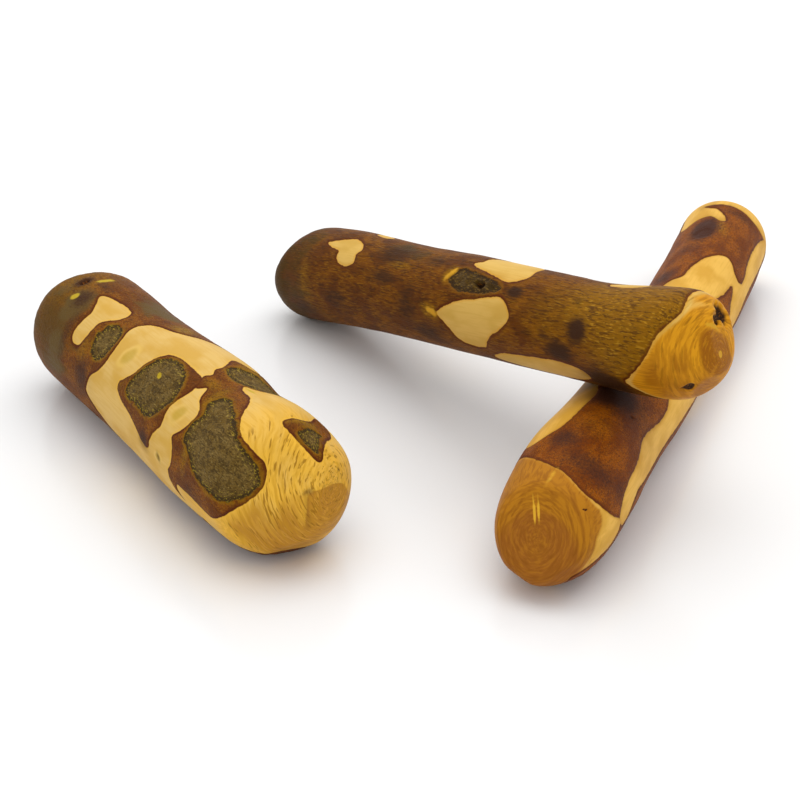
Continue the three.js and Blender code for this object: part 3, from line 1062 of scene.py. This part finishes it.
class ThickFinish(bpy.types.PropertyGroup):
    __annotations__ = finish_settings(
        wood=(0.73, 0.475, 0.14), wood_deep=(0.65, 0.38, 0.07), wood_pale=(0.9, 0.64, 0.17),
        wood_olive=(0.52, 0.34, 0.035), amber=(0.86, 0.48, 0.048), amber_deep=(0.56, 0.28, 0.018),
        heart=(0.45, 0.2, 0.024), pore=(0.3, 0.135, 0.008), bark=(0.14, 0.038, 0.003),
        bark_warm=(0.225, 0.068, 0.003), bark_dark=(0.075, 0.022, 0.003), bark_light=(0.31, 0.13, 0.006),
        edge_line=(0.09, 0.017, 0.003), golden=(0.3, 0.15, 0.004), stain=(0.055, 0.02, 0.008),
        weathered=(0.09, 0.044, 0.004), rind=(0.195, 0.12, 0.031), rind_olive=(0.155, 0.09, 0.018),
        rind_pale=(0.34, 0.24, 0.075), rind_dark=(0.042, 0.024, 0.007), rind_halo=(0.26, 0.12, 0.003),
        fleck=(0.52, 0.36, 0.022), hole=(0.03, 0.01, 0.004),
    )


class UpperFinish(bpy.types.PropertyGroup):
    __annotations__ = finish_settings(
        wood=(0.72, 0.455, 0.11), wood_deep=(0.62, 0.37, 0.07), wood_pale=(0.88, 0.58, 0.14),
        wood_olive=(0.48, 0.33, 0.06), amber=(0.69, 0.3, 0.011), amber_deep=(0.38, 0.14, 0.004),
        heart=(0.3, 0.098, 0.006), pore=(0.23, 0.095, 0.003), bark=(0.12, 0.035, 0.002),
        bark_warm=(0.195, 0.064, 0.002), bark_dark=(0.05, 0.016, 0.003), bark_light=(0.29, 0.115, 0.003),
        edge_line=(0.1, 0.021, 0.003), golden=(0.25, 0.106, 0.001), stain=(0.048, 0.018, 0.006),
        weathered=(0.062, 0.031, 0.002), rind=(0.1, 0.06, 0.02), rind_olive=(0.085, 0.044, 0.004),
        rind_pale=(0.22, 0.135, 0.03), rind_dark=(0.036, 0.018, 0.006), rind_halo=(0.22, 0.085, 0.003),
        fleck=(0.64, 0.33, 0.02), hole=(0.03, 0.013, 0.005),
    )


class LowerFinish(bpy.types.PropertyGroup):
    __annotations__ = finish_settings(
        wood=(0.8, 0.465, 0.085), wood_deep=(0.66, 0.35, 0.042), wood_pale=(0.86, 0.56, 0.12),
        wood_olive=(0.48, 0.3, 0.04), amber=(0.46, 0.183, 0.01), amber_deep=(0.25, 0.08, 0.006),
        heart=(0.335, 0.116, 0.013), pore=(0.24, 0.08, 0.004), bark=(0.17, 0.038, 0.002),
        bark_warm=(0.265, 0.068, 0.002), bark_dark=(0.08, 0.023, 0.005), bark_light=(0.4, 0.125, 0.003),
        edge_line=(0.11, 0.024, 0.004), golden=(0.26, 0.088, 0.004), stain=(0.062, 0.02, 0.01),
        weathered=(0.085, 0.032, 0.004), rind=(0.11, 0.065, 0.028), rind_olive=(0.095, 0.052, 0.014),
        rind_pale=(0.2, 0.13, 0.06), rind_dark=(0.04, 0.02, 0.01), rind_halo=(0.2, 0.07, 0.008),
        fleck=(0.74, 0.4, 0.03), hole=(0.05, 0.016, 0.006),
    )


class StageSettings(bpy.types.PropertyGroup):
    floor_colour: colour_setting("Floor", "Pale studio floor", 0.93, 0.93, 0.93)
    floor_radius: length_setting("Floor radius", "Radius of the round floor", 8.0)
    sky: amount_setting("Room light", "Strength of the even white room", 0.82)
    lamp: FloatProperty(
        name="Softbox", description="Power of the overhead softbox", default=8, min=0, unit="POWER"
    )
    lamp_size: length_setting("Softbox size", "Side of the square softbox", 1.5)
    lamp_place: place_setting("Softbox place", "Where the softbox hangs", 0.12, 0.25, 1.1)
    aim: place_setting(
        "Aim", "Where the camera looks, from the middle of the twigs' footprint", -0.00683, 0.01073, 0
    )
    distance: length_setting("Camera distance", "From the camera to where it looks", 0.709)
    elevation: FloatProperty(
        name="Camera elevation",
        description="How far above level the camera stands",
        default=math.radians(27),
        subtype="ANGLE",
    )
    lens: FloatProperty(
        name="Lens", description="Focal length on a 36 mm sensor", default=94.5, subtype="DISTANCE_CAMERA"
    )


# ---------------------------------------------------------------- pieces and stage

def add_twig(context, plan, finish):
    """One twig's finished skin, in the place of its plain solid."""
    size = context.scene.twig_sizes
    skin = Skin(plan.node, size.spacing / MM, plan.end_depth)
    marks = shape_relief(skin, plan, size)
    marks.update(grain_marks(skin, plan))
    mesh = build_mesh(plan.name, skin, marks)
    mesh.materials.append(twig_material(plan, finish))
    piece = bpy.data.objects.new(plan.name, mesh)
    context.scene.collection.objects.link(piece)
    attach(piece, "root")
    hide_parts(plan.node)


def add_floor(context, stage):
    mesh = bpy.data.meshes.new("studio_floor")
    turns = [2 * math.pi * corner / FLOOR_CORNERS for corner in range(FLOOR_CORNERS)]
    radius = stage.floor_radius
    ring = [(radius * math.cos(turn), radius * math.sin(turn), cad_low[2]) for turn in turns]
    mesh.from_pydata(ring, [], [tuple(range(FLOOR_CORNERS))])
    mesh.materials.append(floor_material(stage))
    floor = bpy.data.objects.new("studio_floor", mesh)
    context.scene.collection.objects.link(floor)


def add_lights(context, stage):
    world = bpy.data.worlds.new("studio_room")
    world.use_nodes = True
    background = world.node_tree.nodes["Background"]
    background.inputs["Color"].default_value = (1, 1, 1, 1)
    background.inputs["Strength"].default_value = stage.sky
    context.scene.world = world
    light = bpy.data.lights.new("softbox", "AREA")
    light.energy = stage.lamp
    light.size = stage.lamp_size
    softbox = bpy.data.objects.new("softbox", light)
    softbox.location = stage.lamp_place
    softbox.rotation_euler = Vector(stage.lamp_place).to_track_quat("Z", "Y").to_euler()
    context.scene.collection.objects.link(softbox)


def add_camera(context, stage):
    middle = (Vector(cad_low) + Vector(cad_high)) / 2
    aim = Vector((middle.x, middle.y, cad_low[2])) + Vector(stage.aim)
    lens = bpy.data.cameras.new("camera")
    lens.lens = stage.lens
    lens.sensor_width = 36
    camera = bpy.data.objects.new("camera", lens)
    towards_camera = Vector((0, -math.cos(stage.elevation), math.sin(stage.elevation)))
    camera.location = aim + stage.distance * towards_camera
    camera.rotation_euler = (math.pi / 2 - stage.elevation, 0, 0)
    context.scene.collection.objects.link(camera)
    context.scene.camera = camera


class TWIGS_OT_stage(bpy.types.Operator):
    """Lays the floor, hangs the soft lights and sets up the camera"""

    bl_idname = "twigs.stage"
    bl_label = "Floor, lights and camera"

    def execute(self, context):
        stage = context.scene.twig_stage
        context.scene.view_settings.view_transform = "Standard"
        add_floor(context, stage)
        add_lights(context, stage)
        add_camera(context, stage)
        return {"FINISHED"}


class TWIGS_OT_thick_twig(bpy.types.Operator):
    """Wraps the thick, mottled twig, with its grey bark islands on pale wood"""

    bl_idname = "twigs.thick_twig"
    bl_label = "Thick mottled twig"

    def execute(self, context):
        add_twig(context, ThickPlan, context.scene.thick_finish)
        return {"FINISHED"}


class TWIGS_OT_lower_twig(bpy.types.Operator):
    """Wraps the long lower twig, with red bark worn through along its sides"""

    bl_idname = "twigs.lower_twig"
    bl_label = "Lower red-bark twig"

    def execute(self, context):
        add_twig(context, LowerPlan, context.scene.lower_finish)
        return {"FINISHED"}


class TWIGS_OT_upper_twig(bpy.types.Operator):
    """Wraps the leaning upper twig, with brown bark and a golden sanded end"""

    bl_idname = "twigs.upper_twig"
    bl_label = "Upper brown-bark twig"

    def execute(self, context):
        add_twig(context, UpperPlan, context.scene.upper_finish)
        return {"FINISHED"}


class TWIGS_PT_panel(bpy.types.Panel):
    """The twigs' operators and their settings"""

    bl_idname = "TWIGS_PT_panel"
    bl_label = "Sanded twigs"
    bl_space_type = "VIEW_3D"
    bl_region_type = "UI"
    bl_category = "Twigs"

    def draw(self, context):
        for operator in OPERATORS:
            self.layout.operator(operator.bl_idname)
        for name in SETTINGS:
            box = self.layout.box()
            group = getattr(context.scene, name)
            for setting in group.__annotations__:
                box.prop(group, setting)


OPERATORS = (TWIGS_OT_stage, TWIGS_OT_thick_twig, TWIGS_OT_lower_twig, TWIGS_OT_upper_twig)
SETTINGS = {
    "twig_sizes": TwigSizes,
    "thick_finish": ThickFinish,
    "lower_finish": LowerFinish,
    "upper_finish": UpperFinish,
    "twig_stage": StageSettings,
}


def register():
    for group in (*SETTINGS.values(), *OPERATORS, TWIGS_PT_panel):
        bpy.utils.register_class(group)
    for name, group in SETTINGS.items():
        setattr(bpy.types.Scene, name, PointerProperty(type=group))


def unregister():
    for name in SETTINGS:
        delattr(bpy.types.Scene, name)
    for group in (TWIGS_PT_panel, *OPERATORS, *SETTINGS.values()):
        bpy.utils.unregister_class(group)


def main():
    register()
    bpy.ops.twigs.stage()
    bpy.ops.twigs.thick_twig()
    bpy.ops.twigs.lower_twig()
    bpy.ops.twigs.upper_twig()


if __name__ == "__main__":
    main()
